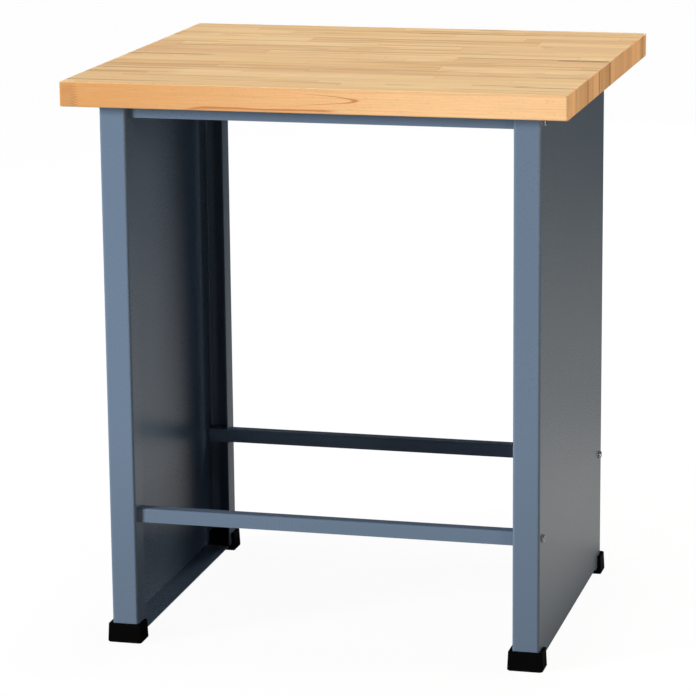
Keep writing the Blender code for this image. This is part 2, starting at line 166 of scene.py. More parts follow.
class Graph:
    """Adds nodes to one tree, each by its type, its settings and its sockets."""

    def __init__(self, tree: bpy.types.NodeTree) -> None:
        """Start on an empty tree."""
        self.tree = tree
        self.tree.nodes.clear()

    def node(
        self,
        kind: str,
        settings: Optional[Mapping[str, Any]] = None,
        sockets: Optional[Mapping[Union[str, int], Any]] = None,
    ) -> bpy.types.Node:
        """Add a node.

        Args:
            kind: the node's type.
            settings: values set on the node itself, before its sockets.
            sockets: a number, colour, node socket or Value for an input's name or place.

        Returns:
            The new node.
        """
        made = self.tree.nodes.new(kind)
        for name, setting in (settings or {}).items():
            setattr(made, name, setting)
        for name, value in (sockets or {}).items():
            source = value.socket if isinstance(value, Value) else value
            if isinstance(source, bpy.types.NodeSocket):
                self.tree.links.new(source, made.inputs[name])
            else:
                made.inputs[name].default_value = source
        return made

    def math(self, operation: str, *terms: Number) -> Value:
        """Add a Math node on one to three numbers."""
        made = self.node("ShaderNodeMath", {"operation": operation}, dict(enumerate(terms)))
        return Value(self, made.outputs[0])

    def place(self) -> Tuple[Value, Value, Value]:
        """The surface's X, Y and Z in the piece's own frame."""
        here = self.node("ShaderNodeTexCoord")
        parts = self.node("ShaderNodeSeparateXYZ", None, {0: here.outputs["Object"]})
        return tuple(Value(self, parts.outputs[k]) for k in range(3))

    def vector(self, x: Number, y: Number, z: Number) -> bpy.types.NodeSocket:
        """Three numbers as one vector."""
        return self.node("ShaderNodeCombineXYZ", None, {0: x, 1: y, 2: z}).outputs[0]

    def attribute(self, name: str) -> Value:
        """A number that the mesh keeps on its faces."""
        return Value(self, self.node("ShaderNodeAttribute", {"attribute_name": name}).outputs["Fac"])

    def noise(self, place: bpy.types.NodeSocket, detail: float = 2.0, roughness: float = 0.5) -> Value:
        """Soft noise about 0.5.

        Args:
            place: where to read it, one unit to a lump.
            detail: how many finer layers are added.
            roughness: how strong the finer layers are.

        Returns:
            The noise there.
        """
        made = self.node(
            "ShaderNodeTexNoise",
            {"noise_dimensions": "3D"},
            {"Vector": place, "Scale": 1.0, "Detail": detail, "Roughness": roughness},
        )
        return Value(self, made.outputs[0])

    def draws(self, x: Number, y: Number, z: Number) -> Tuple[Value, Value, Value]:
        """Three even random numbers for one whole-number place."""
        made = self.node(
            "ShaderNodeTexWhiteNoise", {"noise_dimensions": "3D"}, {"Vector": self.vector(x, y, z)}
        )
        parts = self.node("ShaderNodeSeparateXYZ", None, {0: made.outputs["Color"]})
        return tuple(Value(self, parts.outputs[k]) for k in range(3))

    def mix(self, share: Number, first: Any, second: Any) -> bpy.types.NodeSocket:
        """Blend two colours.

        Args:
            share: 0 for the first colour, 1 for the second.
            first: a colour or a colour socket.
            second: a colour or a colour socket.

        Returns:
            The blended colour's socket.
        """
        pair = [(*item, 1.0) if isinstance(item, tuple) else item for item in (first, second)]
        made = self.node(
            "ShaderNodeMix", {"data_type": "RGBA"}, {0: share, 6: pair[0], 7: pair[1]}
        )
        return made.outputs[2]

    def shade(self, colour: bpy.types.NodeSocket, amount: Value) -> bpy.types.NodeSocket:
        """Multiply a colour by a number."""
        made = self.node(
            "ShaderNodeVectorMath", {"operation": "SCALE"}, {"Vector": colour, "Scale": amount}
        )
        return made.outputs[0]

    def bump(self, height: Value, strength: float, distance: float) -> bpy.types.NodeSocket:
        """A normal tilted by a height.

        Args:
            height: the height, from 0 to 1.
            strength: how much of the tilt is used.
            distance: how tall 1 is, in metres.

        Returns:
            The tilted normal's socket.
        """
        made = self.node(
            "ShaderNodeBump", None, {"Height": height, "Strength": strength, "Distance": distance}
        )
        return made.outputs["Normal"]

    def rays(self) -> Tuple[Value, Value]:
        """1 for a ray that sees the background, straight or through glass, and 1 for a mirrored ray."""
        path = self.node("ShaderNodeLightPath").outputs
        straight = Value(self, path["Is Camera Ray"])
        through = Value(self, path["Is Transmission Ray"])
        return straight.most(through), Value(self, path["Is Glossy Ray"])


@dataclass(frozen=True)
class Grain:
    """A soft noise: its lumps to the metre along X, Y and Z, and how much finer detail it has."""

    x: float
    y: float
    z: float
    detail: float = 2.0
    roughness: float = 0.5

    def noise(self, graph: Graph, spot: Spot, shift: Spot = ()) -> Value:
        """Read the noise.

        Args:
            graph: the tree to add it to.
            spot: where to read it.
            shift: how many lumps it is moved along X, or along X and Y.

        Returns:
            The noise there, about 0.5.
        """
        place = [part * lumps for part, lumps in zip(spot, (self.x, self.y, self.z))]
        for axis, step in enumerate(shift):
            place[axis] = place[axis] + step
        return graph.noise(graph.vector(*place), self.detail, self.roughness)


def even(lumps: float, detail: float = 2.0) -> Grain:
    """A noise whose lumps are as long as they are wide."""
    return Grain(lumps, lumps, lumps, detail)


def new_material(name: str) -> Tuple[bpy.types.Material, Graph]:
    """Make an empty material and the graph of its nodes."""
    material = bpy.data.materials.new(name)
    material.use_nodes = True
    return material, Graph(material.node_tree)


def close_surface(graph: Graph, sockets: Mapping[str, Any]) -> None:
    """End a material in a Principled shader with these sockets."""
    shader = graph.node("ShaderNodeBsdfPrincipled", None, sockets)
    graph.node("ShaderNodeOutputMaterial", None, {"Surface": shader.outputs["BSDF"]})


@dataclass(frozen=True)
class Streak:
    """A mark that runs along the grain: its ends along X, its Y, its half width and its strength."""

    start: float
    end: float
    line: float
    half: float
    amount: float
    fade_in: float = 0.006
    fade_out: float = 0.030
    core: float = 0.4

    def strength(self, x: Value, y: Value) -> Value:
        """How strong the mark is at a place."""
        run = x.rise(self.start, self.start + self.fade_in) * x.fall(self.end - self.fade_out, self.end)
        spread = abs(y - self.line).fall(self.half * self.core, self.half)
        return run * spread * self.amount


def strongest(streaks: Sequence[Streak], x: Value, y: Value) -> Value:
    """Lay streaks over the wood.

    Args:
        streaks: the streaks to lay.
        x: place along the staves.
        y: place across the staves, with the grain's waver.

    Returns:
        The strongest streak's strength there.
    """
    total = streaks[0].strength(x, y)
    for streak in streaks[1:]:
        total = total.most(streak.strength(x, y))
    return total


@dataclass(frozen=True)
class HeartFigure:
    """The arched figure on the worktop's front edge, and the brown vein that runs below it."""

    waver: Grain = Grain(22.0, 60.0, 1.0)
    waver_slice: float = 4.0
    waver_size: float = 0.003
    tip: float = 0.068
    spread: float = 0.00084
    reach: float = 0.115
    lift: float = 0.002
    line: Pair = (0.001, 0.009)
    line_share: float = 0.85
    half_height: float = 0.018
    vein_height: float = 0.0012
    vein_bend: Pair = (-0.185, -0.150)
    vein_climb: float = 0.0034
    vein_start: Pair = (-0.190, -0.165)
    vein_end: Pair = (0.020, 0.050)
    vein_line: Pair = (0.0006, 0.0022)
    vein_share: float = 0.80
    below_line: Pair = (-0.0006, 0.0004)
    below_share: float = 0.22

    def amount(self, graph: Graph, x: Value, depth: Value) -> Value:
        """Draw the figure.

        Args:
            graph: the material's graph.
            x: place along the edge.
            depth: height above the edge's middle.

        Returns:
            How much of the heart's colour shows there.
        """
        wander = (self.waver.noise(graph, (x, depth, self.waver_slice)) - HALF) * self.waver_size
        inside = self.tip - x - (depth - self.lift + wander) ** 2.0 / self.spread
        arms = x.rise(self.tip - self.reach, self.tip - self.reach * HALF)
        arch = abs(inside).fall(*self.line) * self.line_share * arms
        height = depth + self.half_height - self.vein_height - x.rise(*self.vein_bend) * self.vein_climb
        vein = abs(height + wander).fall(*self.vein_line) * self.vein_share
        below = height.fall(*self.below_line) * self.below_share
        span = x.rise(*self.vein_start) * x.fall(*self.vein_end)
        return arch.most(vein.most(below) * span)


@dataclass(frozen=True)
class StaveCuts:
    """How the staves are cut into finger-jointed lengths, and the glue lines that this leaves."""

    finger_pitch: float = 0.0019
    finger_length: float = 0.0090
    shortest: float = 0.24
    longest: float = 0.56
    seed: Pair = (0.0, 1.0)
    start_spread: float = 7.0
    first_count: float = 20.0
    front_joint: float = -0.343
    front_length: float = 2.0
    front_count: float = 40.0
    seam: Grain = Grain(3.2, 7.3, 1.0, 1.0)
    seam_slice: float = 0.5
    seam_step: Pair = (0.50, 0.62)
    hairline: Pair = (0.0002, 0.0008)
    hairline_share: float = 0.18
    hairline_gain: float = 0.45
    shade: Pair = (0.0010, 0.0055)
    shade_share: float = 0.66
    butt: Pair = (0.0002, 0.0010)
    finger: Pair = (0.0008, 0.0034)

    def lengths(self, graph: Graph, x: Value, z: Value, stave: Value) -> Tuple[Value, Value]:
        """Cut each stave into lengths.

        Args:
            graph: the material's graph.
            x: place along the stave.
            z: height, which runs across the fingers.
            stave: the stave's number, 0 at the front edge.

        Returns:
            The length of the piece of wood and how many lengths along it the place is.
        """
        reach = x + graph.math("PINGPONG", z, self.finger_pitch) * (self.finger_length / self.finger_pitch)
        size, start, _ = graph.draws(stave, *self.seed)
        length = self.shortest + size * (self.longest - self.shortest)
        along = reach / length + start * self.start_spread + self.first_count
        front = stave < HALF
        front_along = (reach - self.front_joint) / self.front_length + self.front_count
        return length + (self.front_length - length) * front, along + (front_along - along) * front

    def lines(self, graph: Graph, spot: Spot, half: Value, cut: Tuple[Value, Value]) -> Tuple[Value, ...]:
        """Glue lines between the staves and at the ends of their lengths.

        Args:
            graph: the material's graph.
            spot: place along and across the stave, and the stave's number.
            half: half the stave's width.
            cut: the length of the piece of wood and how many lengths along it the place is.

        Returns:
            How dark the lines between staves, the lines between lengths and the fingers are there.
        """
        x, across, stave = spot
        strength = self.seam.noise(graph, (x, stave, self.seam_slice)).rise(*self.seam_step)
        hairline = (half - abs(across)).fall(*self.hairline)
        hairline = hairline * (self.hairline_share + strength * self.hairline_gain)
        shade = (half + across).fall(*self.shade) * strength * self.shade_share
        whole = cut[1].fraction()
        gap = whole.least(1.0 - whole) * cut[0]
        return hairline.most(shade), gap.fall(*self.butt), gap.fall(*self.finger)


@dataclass(frozen=True)
class GrowthRings:
    """Rings about a pith that each piece of wood has somewhere below or beside it."""

    pitch: float = 0.0042
    drift: Grain = Grain(2.4, 9.0, 9.0)
    drift_shift: Pair = (31.0, 17.0)
    drift_size: float = 0.040
    aside: float = 0.16
    least_below: float = 0.025
    more_below: float = 0.09
    late: Pair = (0.35, 1.0)

    def late_wood(self, graph: Graph, spot: Spot, draw: Tuple[Value, Value, Value]) -> Value:
        """Draw the rings.

        Args:
            graph: the material's graph.
            spot: place along, across and through the stave.
            draw: the piece's three random numbers.

        Returns:
            1 in the dark late wood of a ring, else towards 0.
        """
        shift = [number * apart for number, apart in zip(draw, self.drift_shift)]
        drift = self.drift.noise(graph, spot, shift) - HALF
        aside = spot[1] - (draw[1] - HALF) * self.aside
        below = spot[2] + self.least_below + draw[2] * self.more_below
        radius = (aside * aside + below * below).root() + drift * self.drift_size
        return (radius / self.pitch).fraction().rise(*self.late)


@dataclass(frozen=True)
class BeechFinish:
    """Satin-lacquered beech, cut from a solid grain that follows each stave and each length in it."""

    pale: Colour = (0.845, 0.600, 0.330)
    deep: Colour = (0.715, 0.455, 0.222)
    pink: Colour = (0.660, 0.400, 0.215)
    late_wood: Colour = (0.52, 0.300, 0.130)
    fleck: Colour = (0.36, 0.180, 0.070)
    glue: Colour = (0.30, 0.165, 0.075)
    front_left: Colour = (0.52, 0.228, 0.067)
    front_right: Colour = (0.780, 0.486, 0.250)
    front_dark: Colour = (0.40, 0.165, 0.045)
    bright: Colour = (0.93, 0.75, 0.50)
    end_colour: Colour = (0.535, 0.285, 0.128)
    heart: Colour = (0.42, 0.150, 0.050)
    figure: HeartFigure = HeartFigure()
    cuts: StaveCuts = StaveCuts()
    rings: GrowthRings = GrowthRings()
    middle: float = 0.832
    tone_seed: float = 3.0
    end_seed: Pair = (5.0, 9.0)
    broad: Grain = Grain(3.0, 90.0, 90.0, 3.0, 0.6)
    broad_shift: float = 40.0
    fibre: Grain = Grain(24.0, 1500.0, 1500.0, 2.0, 0.6)
    thread: Grain = Grain(2.6, 260.0, 260.0, 2.0, 0.55)
    thread_shift: float = 60.0
    thread_step: Pair = (0.56, 0.68)
    thread_share: float = 0.30
    dash: Grain = Grain(240.0, 1500.0, 900.0, 1.0)
    dash_step: Pair = (0.62, 0.74)
    dash_share: float = 0.26
    band: Grain = Grain(2.2, 85.0, 85.0, 1.5)
    band_shift: float = 70.0
    band_step: Pair = (0.56, 0.64)
    banded_pieces: Pair = (0.20, 0.50)
    band_share: float = 0.60
    waver: Grain = Grain(9.0, 40.0, 1.0)
    waver_slice: float = 2.0
    waver_size: float = 0.006
    tone_step: Pair = (0.20, 1.0)
    tone_share: float = 0.52
    slope_share: float = 0.50
    broad_share: float = 1.3
    pink_step: Pair = (0.55, 1.0)
    pink_share: float = 0.55
    edge_span: Pair = (-0.42, 0.34)
    edge_share: float = 0.85
    dark_share: float = 0.75
    end_share: float = 0.75
    end_hides: float = 0.85
    ring_share: float = 0.24
    edge_ring_loss: float = 0.10
    end_ring_share: float = 0.24
    butt_share: float = 0.34
    finger_span: Pair = (-0.004, 0.008)
    finger_loss: float = 0.75
    finger_share: float = 0.60
    # Painted shade on the eased edges
    arris_share: float = 0.30
    arris_from: float = 0.35
    arris_gain: float = 1.2
    arris_most: float = 0.8
    fibre_light: float = 0.20
    edge_fibre_light: float = 0.14
    end_light: float = 0.20
    end_light_spread: float = 0.34
    fibre_height: float = 0.55
    ring_height: float = 0.30
    dash_depth: float = 0.35
    bump: Pair = (0.25, 0.00025)
    roughness: float = 0.42
    ring_roughness: float = 0.06
    dash_roughness: float = 0.08
    end_roughness: float = 0.12
    ior: float = 1.46
    dark_streaks: Tuple[Streak, ...] = (
        Streak(-0.380, -0.225, -0.023, 0.0050, 0.87),
        Streak(0.015, 0.230, 0.281, 0.0045, 0.80),
        Streak(-0.330, -0.180, 0.087, 0.0045, 0.52),
        Streak(-0.270, -0.025, 0.152, 0.0040, 0.46),
        Streak(-0.170, -0.015, 0.021, 0.0035, 0.43),
        Streak(-0.026, -0.004, 0.022, 0.0060, 0.72),
        Streak(0.135, 0.400, 0.006, 0.0045, 0.80),
        Streak(0.290, 0.400, -0.003, 0.0060, 0.72),
        Streak(-0.380, -0.215, -0.178, 0.0040, 0.58),
        Streak(-0.308, -0.080, -0.250, 0.0030, 0.58),
        Streak(0.215, 0.320, -0.270, 0.0035, 0.80),
        Streak(0.280, 0.400, -0.283, 0.0035, 0.87),
        Streak(-0.170, 0.230, -0.126, 0.0025, 0.52),
        Streak(0.095, 0.155, -0.287, 0.0030, 0.65),
        Streak(0.235, 0.265, 0.150, 0.0050, 0.65),
        Streak(0.290, 0.400, -0.182, 0.0035, 0.65),
        Streak(0.100, 0.160, 0.335, 0.0045, 0.58),
    )
    rosy_pieces: Tuple[Streak, ...] = (
        Streak(0.135, 0.400, -0.018, 0.0240, 0.55),
        Streak(-0.140, 0.170, -0.160, 0.0340, 0.30),
        Streak(-0.380, -0.220, -0.215, 0.0400, 0.32),
        Streak(-0.380, -0.300, 0.235, 0.0460, 0.30),
    )
    bright_streaks: Tuple[Streak, ...] = (
        Streak(-0.080, 0.085, -0.222, 0.0035, 0.60),
        Streak(0.065, 0.135, -0.028, 0.0140, 0.35),
        Streak(-0.250, -0.030, 0.125, 0.0090, 0.25),
    )
    end_streaks: Tuple[Streak, ...] = (
        Streak(-1.0, 1.0, -0.190, 0.0050, 0.72),
        Streak(-1.0, 1.0, -0.145, 0.0025, 0.66),
        Streak(-1.0, 1.0, -0.091, 0.0070, 0.82),
        Streak(-1.0, 1.0, -0.070, 0.0030, 0.72),
        Streak(-1.0, 1.0, -0.037, 0.0330, 0.30),
        Streak(-1.0, 1.0, -0.006, 0.0060, 0.85),
        Streak(-1.0, 1.0, 0.315, 0.0240, 0.42),
    )

    def material(self) -> bpy.types.Material:
        """Build the beech material."""
        material, graph = new_material("lacquered_beech")
        spot = graph.place()
        x, y, z = spot
        stave = graph.attribute("stave")
        across = y - graph.attribute("stave_centre")
        half = graph.attribute("stave_width") * HALF
        end_grain = graph.attribute("end_grain")
        side = graph.attribute("long_edge")
        open_grain = 1.0 - side
        long_grain = 1.0 - end_grain * self.end_hides
        depth = z - self.middle
        cut = self.cuts.lengths(graph, x, z, stave)
        piece = cut[1].floor()
        draw = graph.draws(stave, piece, self.tone_seed)
        tone, lean, rosy = draw
        end_tone, _, _ = graph.draws(stave, *self.end_seed)

        # Grain
        late = self.rings.late_wood(graph, (x, across, depth), draw)
        broad = self.broad.noise(graph, spot, (tone * self.broad_shift,))
        fibre = self.fibre.noise(graph, spot)
        thread = self.thread.noise(graph, spot, (lean * self.thread_shift,)).rise(*self.thread_step)
        dash = self.dash.noise(graph, spot).rise(*self.dash_step)
        band = self.band.noise(graph, spot, (tone * self.band_shift,)).rise(*self.band_step)
        band = band * lean.rise(*self.banded_pieces)
        near = y + (self.waver.noise(graph, (x, y, self.waver_slice)) - HALF) * self.waver_size
        heart = self.figure.amount(graph, x, depth) * graph.attribute("front_edge")

        # Glue lines, and shade painted on the eased edges
        seams, butts, fingers = self.cuts.lines(graph, (x, across, stave), half, cut)
        fingers = fingers * side * (1.0 - depth.rise(*self.finger_span) * self.finger_loss)
        fingers = fingers * self.finger_share
        glue = (seams * open_grain).most(butts * self.butt_share).most(fingers)
        # Painted shade on the eased edges, uneven along them, toning down the highlight they catch
        arris_shade_strength = self.arris_share + (broad - self.arris_from).most(0.0) * self.arris_gain
        shaded_arris = (graph.attribute("shaded_arris") * arris_shade_strength).least(self.arris_most)

        # Colour, one layer over another
        slope = across / half * (lean - HALF)
        tone_depth = tone.rise(*self.tone_step) * self.tone_share + slope * self.slope_share
        tone_depth = tone_depth + (broad - HALF) * self.broad_share
        edge = graph.mix(x.rise(*self.edge_span), self.front_left, self.front_right)
        before_joint = piece < self.cuts.front_count - HALF
        edge = graph.mix(before_joint * self.dark_share, edge, self.front_dark)
        colour = graph.mix(tone_depth.held(), self.pale, self.deep)
        layers = (
            (rosy.rise(*self.pink_step) * self.pink_share, self.pink),
            (strongest(self.rosy_pieces, x, near) * open_grain, self.pink),
            (strongest(self.bright_streaks, x, near) * open_grain, self.bright),
            (side * self.edge_share, edge),
            (end_grain * self.end_share, self.end_colour),
            (late * (self.ring_share - side * self.edge_ring_loss), self.late_wood),
            (late * end_grain * self.end_ring_share, self.glue),
            (band * open_grain * long_grain * self.band_share, self.late_wood),
            (strongest(self.dark_streaks, x, near) * open_grain, self.glue),
            (strongest(self.end_streaks, x, near) * end_grain, self.glue),
            (thread * long_grain * self.thread_share, self.late_wood),
            (heart, self.heart),
            (dash * self.dash_share, self.fleck),
            (glue, self.glue),
            (shaded_arris, self.late_wood),
        )
        for share, layer in layers:
            colour = graph.mix(share, colour, layer)

        fibre_light = self.fibre_light + side * self.edge_fibre_light
        end_light = self.end_light - self.end_light_spread * end_tone
        light = (1.0 + (fibre - HALF) * fibre_light) * (1.0 + end_grain * end_light)
        height = fibre * self.fibre_height + late * self.ring_height - dash * self.dash_depth
        roughness = self.roughness + late * self.ring_roughness + dash * self.dash_roughness
        close_surface(graph, {
            "Base Color": graph.shade(colour, light),
            "Roughness": roughness + end_grain * self.end_roughness,
            "IOR": self.ior,
            "Normal": graph.bump(height, *self.bump),
        })
        return material


@dataclass(frozen=True)
class PaintFinish:
    """Blue-grey powder coat: satin, with a fine orange peel, and painted shade darker towards the floor."""

    base: Colour = (0.124, 0.173, 0.243)
    shaded: Colour = (0.109, 0.153, 0.218)
    # Painted shade: darker towards the floor, standing in for the light falling off down the legs
    grubby: Colour = (0.094, 0.131, 0.185)
    grubby_height: float = 0.36
    peel: Grain = even(480.0)
    peel_height: float = 0.65
    peel_roughness: float = 0.10
    grain: Grain = even(1700.0, 1.0)
    grain_share: float = 0.7
    grain_height: float = 0.35
    cloud: Grain = even(4.0, 3.0)
    cloud_share: float = 0.6
    cloud_roughness: float = 0.06
    unshaded: float = 0.15
    roughness: float = 0.29
    bump: Pair = (0.30, 0.00022)
    ior: float = 1.5

    def material(self) -> bpy.types.Material:
        """Build the paint material."""
        material, graph = new_material("powder_coat")
        spot = graph.place()
        peel, grain, cloud = (noise.noise(graph, spot) for noise in (self.peel, self.grain, self.cloud))
        share = (cloud * self.cloud_share + grain * self.grain_share - self.unshaded).held()
        colour = graph.mix(share, self.base, self.shaded)
        roughness = self.roughness + (peel - HALF) * self.peel_roughness
        close_surface(graph, {
            # Painted shade, darker towards the floor
            "Base Color": graph.mix(spot[2].fall(0.0, self.grubby_height), colour, self.grubby),
            "Roughness": roughness + (cloud - HALF) * self.cloud_roughness,
            "IOR": self.ior,
            "Normal": graph.bump(peel * self.peel_height + grain * self.grain_height, *self.bump),
        })
        return material


@dataclass(frozen=True)
class PlasticFinish:
    """Black moulded plastic with a spark-eroded grain and slightly scuffed soles."""

    base: Colour = (0.0016, 0.0016, 0.0017)
    scuffed: Colour = (0.010, 0.0097, 0.0094)
    grain: Grain = even(1300.0)
    grain_roughness: float = 0.16
    cloud: Grain = even(60.0, 3.0)
    scuff_height: float = 0.005
    scuff_step: Pair = (0.45, 0.75)
    scuff_share: float = 0.8
    scuff_roughness: float = 0.15
    roughness: float = 0.62
    bump: Pair = (0.22, 0.0002)
    ior: float = 1.49
    specular: float = 0.07

    def material(self) -> bpy.types.Material:
        """Build the plastic material."""
        material, graph = new_material("moulded_plastic")
        spot = graph.place()
        grain = self.grain.noise(graph, spot)
        cloud = self.cloud.noise(graph, spot)
        scuff = spot[2].fall(0.0, self.scuff_height) * cloud.rise(*self.scuff_step)
        roughness = self.roughness + (grain - HALF) * self.grain_roughness
        close_surface(graph, {
            "Base Color": graph.mix(scuff * self.scuff_share, self.base, self.scuffed),
            "Roughness": roughness + scuff * self.scuff_roughness,
            "IOR": self.ior,
            "Specular IOR Level": self.specular,
            "Normal": graph.bump(grain, *self.bump),
        })
        return material


@dataclass(frozen=True)
class ZincFinish:
    """Bright zinc plate with a faint straw tint and turning marks."""

    base: Colour = (0.72, 0.73, 0.75)
    straw: Colour = (0.70, 0.67, 0.58)
    straw_step: Pair = (0.4, 0.7)
    straw_share: float = 0.6
    cloud: Grain = even(160.0)
    grain: Grain = even(900.0, 3.0)
    grain_roughness: float = 0.14
    roughness: float = 0.26
    bump: Pair = (0.12, 0.0001)

    def material(self) -> bpy.types.Material:
        """Build the zinc material."""
        material, graph = new_material("zinc_plate")
        spot = graph.place()
        grain = self.grain.noise(graph, spot)
        tinted = self.cloud.noise(graph, spot).rise(*self.straw_step) * self.straw_share
        close_surface(graph, {
            "Base Color": graph.mix(tinted, self.base, self.straw),
            "Metallic": 1.0,
            "Roughness": self.roughness + (grain - HALF) * self.grain_roughness,
            "Normal": graph.bump(grain, *self.bump),
        })
        return material


@dataclass(frozen=True)
class FloorFinish:
    """White studio floor with a soft shadow, which reflections see as a wide pool of light."""

    seen: Colour = (0.95, 0.95, 0.95)
    bounce: Colour = (0.045, 0.045, 0.045)
    dull: Colour = (0.008, 0.008, 0.008)
    glow: float = 0.945
    far_glow: float = 0.985
    even_from: float = 1.0
    even_to: float = 6.0
    pool: float = 0.33
    pool_tint: Colour = (1.0, 0.96, 0.90)
    pool_middle: Pair = (0.45, 0.55)
    pool_reach: float = 4.3
    near_pool: float = 0.20
    near_reach: float = 0.9
    shadow_half: Pair = (0.28, 0.25)
    shadow_soft: float = 0.14

    def material(self) -> bpy.types.Material:
        """Build the floor material."""
        material, graph = new_material("studio_floor")
        x, y, _ = graph.place()
        seen, mirrored = graph.rays()
        reach = (x * x + y * y).root()
        glow = self.glow + reach.rise(self.even_from, self.even_to) * (self.far_glow - self.glow)
        aside = x - self.pool_middle[0]
        behind = y - self.pool_middle[1]
        spread = (aside * aside + behind * behind).root()
        far = spread.fall(0.0, self.pool_reach) * self.pool
        near = spread.fall(0.0, self.near_reach) * self.near_pool
        beside = (abs(x) - self.shadow_half[0]).most(abs(y) - self.shadow_half[1])
        pool = (far + near) * beside.rise(0.0, self.shadow_soft)
        colour = graph.mix(seen, graph.mix(mirrored, self.bounce, self.dull), self.seen)
        matt = graph.node("ShaderNodeBsdfDiffuse", None, {"Color": colour})
        tint = graph.mix(mirrored, WHITE, self.pool_tint)
        white = graph.node("ShaderNodeEmission", None, {"Color": tint, "Strength": 1.0})
        both = graph.node("ShaderNodeMixShader", None, {
            0: seen * glow + mirrored * pool, 1: matt.outputs[0], 2: white.outputs[0],
        })
        graph.node("ShaderNodeOutputMaterial", None, {"Surface": both.outputs[0]})
        return material


def link_piece(name: str, mesh: bpy.types.Mesh, material: bpy.types.Material) -> bpy.types.Object:
    """Put a mesh into the scene as a piece at the origin.

    Args:
        name: the piece's name.
        mesh: its mesh, with its place in its vertices.
        material: its only material.

    Returns:
        The new object.
    """
    mesh.materials.clear()
    mesh.materials.append(material)
    piece = bpy.data.objects.new(name, mesh)
    bpy.context.scene.collection.objects.link(piece)
    return piece


def mesh_of(bm: bmesh.types.BMesh, name: str) -> bpy.types.Mesh:
    """Turn a bmesh into a smooth mesh and free it."""
    for face in bm.faces:
        face.smooth = True
    mesh = bpy.data.meshes.new(name)
    bm.to_mesh(mesh)
    bm.free()
    return mesh


def keep_flats_flat(piece: bpy.types.Object) -> None:
    """Let the large faces lead the shading, so that rounded edges roll off them evenly."""
    normals = piece.modifiers.new("even_shading", "WEIGHTED_NORMAL")
    normals.keep_sharp = True
    normals.weight = FLAT_WEIGHT


def climb(edge: bmesh.types.BMEdge) -> float:
    """How far an edge goes up."""
    return abs(edge.verts[0].co.z - edge.verts[1].co.z)


def ease(
    bm: bmesh.types.BMesh, edges: Sequence[bmesh.types.BMEdge], size: float, steps: int,
    clamped: bool = False,
) -> None:
    """Round edges off.

    Args:
        bm: the body.
        edges: its edges to round.
        size: how far back from the edge the rounding starts.
        steps: how many facets the rounding has.
        clamped: True if a rounding stops where it meets another.
    """
    bmesh.ops.bevel(
        bm, geom=edges, offset=size, segments=steps, profile=HALF, affect="EDGES",
        clamp_overlap=clamped,
    )


@dataclass
class SubAssembly:
    """A group of pieces in one finish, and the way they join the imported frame."""

    material: bpy.types.Material
    slot: Slot

    def publish(self, piece: bpy.types.Object, *nodes: str) -> bpy.types.Object:
        """Hand a finished piece to the frame.

        Args:
            piece: the finished object.
            nodes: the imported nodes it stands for.

        Returns:
            The same object.
        """
        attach(piece, BODY)
        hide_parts(*nodes)
        LOG.info("%s stands for %s, %d faces", piece.name, ", ".join(nodes), len(piece.data.polygons))
        return piece


